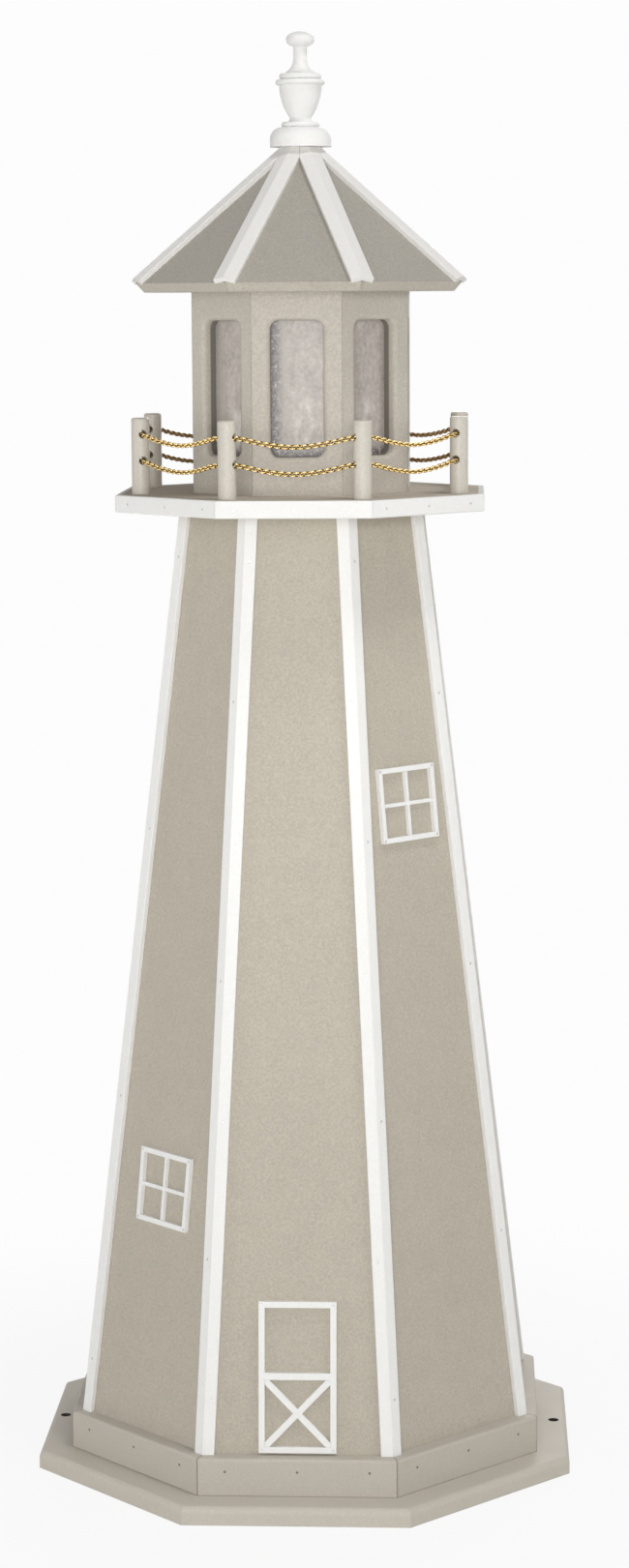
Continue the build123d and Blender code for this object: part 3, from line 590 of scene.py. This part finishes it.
def link_ring(around=14, across=8):
    """Vertices and faces of one oval link, long along X and flat in XY, and which faces are in its eye."""
    half_run = (LINK_LENGTH - LINK_WIDTH) / 2
    bend = (LINK_WIDTH - LINK_WIRE) / 2
    vertices = []
    for i in range(around):
        angle = 2 * math.pi * i / around
        out = Vector((math.cos(angle), math.sin(angle), 0))
        centre = out * bend + Vector((math.copysign(half_run, math.cos(angle)), 0, 0))
        for j in range(across):
            side = 2 * math.pi * j / across
            vertices.append(centre + (out * math.cos(side) + Vector((0, 0, math.sin(side)))) * LINK_WIRE / 2)
    faces, inner = [], []
    for i in range(around):
        for j in range(across):
            a, b = i * across + j, i * across + (j + 1) % across
            c, d = (i + 1) % around * across + (j + 1) % across, (i + 1) % around * across + j
            faces.append((a, d, c, b))
            inner.append(int(math.cos(2 * math.pi * (j + 0.5) / across) < 0))
    return vertices, faces, inner


def make_chain(name, height):
    """Chain of twisted links along the route of one chain's solid."""
    line = smooth_line(name + "_line", chain_route(height))
    places, length = along_line(line, LINK_PITCH)
    ring, ring_faces, ring_inner = link_ring()
    vertices, faces = [], []
    for number, (point, direction) in enumerate(places):
        side = direction.cross(Vector((0, 0, 1))).normalized()
        frame_turn = Matrix((direction, side, direction.cross(side))).transposed()
        twist = Matrix.Rotation(LINK_TWIST if number % 2 else -LINK_TWIST, 3, "X")
        lean = Matrix.Rotation(LINK_LEAN, 3, "Z")
        first = len(vertices)
        vertices.extend(point + frame_turn @ twist @ lean @ corner for corner in ring)
        faces.extend(tuple(first + index for index in face) for face in ring_faces)
    mesh = bpy.data.meshes.new(name + "_links")
    mesh.from_pydata(vertices, [], faces)
    mesh.polygons.foreach_set("use_smooth", [True] * len(mesh.polygons))
    # The inner faces of the links take the painted shade
    mesh.polygons.foreach_set("material_index", ring_inner * len(places))
    mesh.materials.append(gold)
    mesh.materials.append(painted_link_shade)
    chain = bpy.data.objects.new(name + "_links", mesh)
    bpy.context.scene.collection.objects.link(chain)
    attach(chain, "tower")
    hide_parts(name)


for chain_name, chain_height in CHAIN_HEIGHTS.items():
    make_chain(chain_name, chain_height)

# Floor, white to the camera and in reflections, with a faint shadow near the base that is partly painted
# shade, and painted shade under it
GROUND_WHITE = (0.98, 0.98, 0.98, 1)
FLOOR_PALE = (0.82, 0.82, 0.81)
FLOOR_PAINTED_SHADE = (0.03, 0.03, 0.03)
FLOOR_REACH = 6
BASE_INSIDE = 0.28
SHADOW_REACH = 1.0
SHADOW_SHARE = 0.10


def shows_ground(tree):
    """1 for the rays that see the white ground: those of the camera, of gloss and of glass."""
    path = node(tree, "ShaderNodeLightPath")
    seen = math_node(tree, "MAXIMUM", path.outputs["Is Camera Ray"], path.outputs["Is Glossy Ray"])
    return math_node(tree, "MAXIMUM", seen, path.outputs["Is Transmission Ray"])


def make_floor():
    """Plain floor that shows as the photograph's white ground."""
    material, tree, shader = new_material("floor")
    shader.inputs["Roughness"].default_value = 0.9
    seen = node(tree, "ShaderNodeEmission", {"Color": GROUND_WHITE, "Strength": 1.0})
    away = node(tree, "ShaderNodeVectorMath", operation="LENGTH")
    tree.links.new(object_place(tree), away.inputs[0])
    outside = math_node(tree, "GREATER_THAN", away.outputs["Value"], BASE_INSIDE)
    blend = node(tree, "ShaderNodeMixShader")
    # Painted shade under the base
    tree.links.new(mix(tree, outside, FLOOR_PAINTED_SHADE, FLOOR_PALE), shader.inputs["Base Color"])
    # Painted shade: the white thins towards the base, so the lit floor and its shadow show more there
    near = fade(tree, away.outputs["Value"], SHADOW_REACH, BASE_INSIDE)
    glow = math_node(tree, "MULTIPLY_ADD", near, -SHADOW_SHARE, 1.0)
    seen_share = math_node(tree, "MULTIPLY", math_node(tree, "MULTIPLY", shows_ground(tree), outside), glow)
    tree.links.new(seen_share, blend.inputs[0])
    tree.links.new(shader.outputs[0], blend.inputs[1])
    tree.links.new(seen.outputs[0], blend.inputs[2])
    tree.links.new(blend.outputs[0], tree.nodes["Material Output"].inputs["Surface"])
    mesh = bpy.data.meshes.new("floor")
    corners = [(x * FLOOR_REACH, y * FLOOR_REACH, 0) for x, y in ((-1, -1), (1, -1), (1, 1), (-1, 1))]
    mesh.from_pydata(corners, [], [(0, 1, 2, 3)])
    mesh.materials.append(material)
    floor = bpy.data.objects.new("floor", mesh)
    bpy.context.scene.collection.objects.link(floor)


make_floor()

# World: white behind the object, a soft pale dome for the light, from the ground up
DOME_TONES = ((0.45, (0.62, 0.61, 0.60)), (0.62, (0.70, 0.70, 0.70)), (0.95, (0.42, 0.42, 0.43)))
DOME_STRENGTH = 0.55


def make_world():
    """Soft studio surroundings."""
    world = bpy.data.worlds.new("studio")
    world.use_nodes = True
    tree = world.node_tree
    tree.nodes.clear()
    place = node(tree, "ShaderNodeTexCoord")
    split = node(tree, "ShaderNodeSeparateXYZ")
    tree.links.new(place.outputs["Generated"], split.inputs[0])
    height = math_node(tree, "MULTIPLY_ADD", split.outputs["Z"], 0.5, 0.5)
    dome = ramp(tree, height, DOME_TONES)
    light = node(tree, "ShaderNodeBackground", {"Strength": DOME_STRENGTH})
    tree.links.new(dome, light.inputs["Color"])
    seen = node(tree, "ShaderNodeBackground", {"Color": GROUND_WHITE, "Strength": 1.0})
    blend = node(tree, "ShaderNodeMixShader")
    out = node(tree, "ShaderNodeOutputWorld")
    tree.links.new(shows_ground(tree), blend.inputs[0])
    tree.links.new(light.outputs[0], blend.inputs[1])
    tree.links.new(seen.outputs[0], blend.inputs[2])
    tree.links.new(blend.outputs[0], out.inputs["Surface"])
    bpy.context.scene.world = world


make_world()


def place_light(data, place, target):
    """Light object at a place, aimed at a point."""
    lamp = bpy.data.objects.new(data.name, data)
    bpy.context.scene.collection.objects.link(lamp)
    aim = Vector(target) - Vector(place)
    lamp.matrix_world = Matrix.Translation(Vector(place)) @ aim.to_track_quat("-Z", "Y").to_matrix().to_4x4()


def area_light(name, place, target, width, height, power):
    """Soft rectangular light aimed at a point."""
    data = bpy.data.lights.new(name, "AREA")
    data.shape = "RECTANGLE"
    data.size = width
    data.size_y = height
    data.energy = power
    place_light(data, place, target)


def spot_light(name, place, target, cone, radius, power):
    """Soft spot light aimed at a point, fading from its middle to the edge of its cone."""
    data = bpy.data.lights.new(name, "SPOT")
    data.spot_size = math.radians(cone)
    data.spot_blend = 1.0
    data.shadow_soft_size = radius
    data.energy = power
    place_light(data, place, target)


# Lights: place, target, size or cone and radius, power in watts
area_light("front_key", (-0.2, -3.2, 1.0), (0, 0, 0.5), 1.6, 1.2, 38.5)
spot_light("head_key", (0.45, -3.3, 1.35), (0, 0, 1.12), 34, 0.45, 50)
spot_light("tower_key", (0.1, -3.3, 0.65), (0, 0, 0.88), 21, 0.35, 20)
area_light("left_fill", (-3.0, -1.4, 1.0), (0, 0, 0.3), 1.5, 1.6, 16)
area_light("right_fill", (3.0, -1.4, 1.65), (0, 0, 0.5), 0.6, 0.4, 12)
area_light("back_fill", (0.6, 3.0, 1.8), (0, 0, 0.8), 1.5, 2.0, 34)
area_light("top_soft", (1.2, -0.9, 4.1), (0, 0, 0), 0.8, 0.8, 38)

bpy.context.scene.view_settings.view_transform = "Standard"
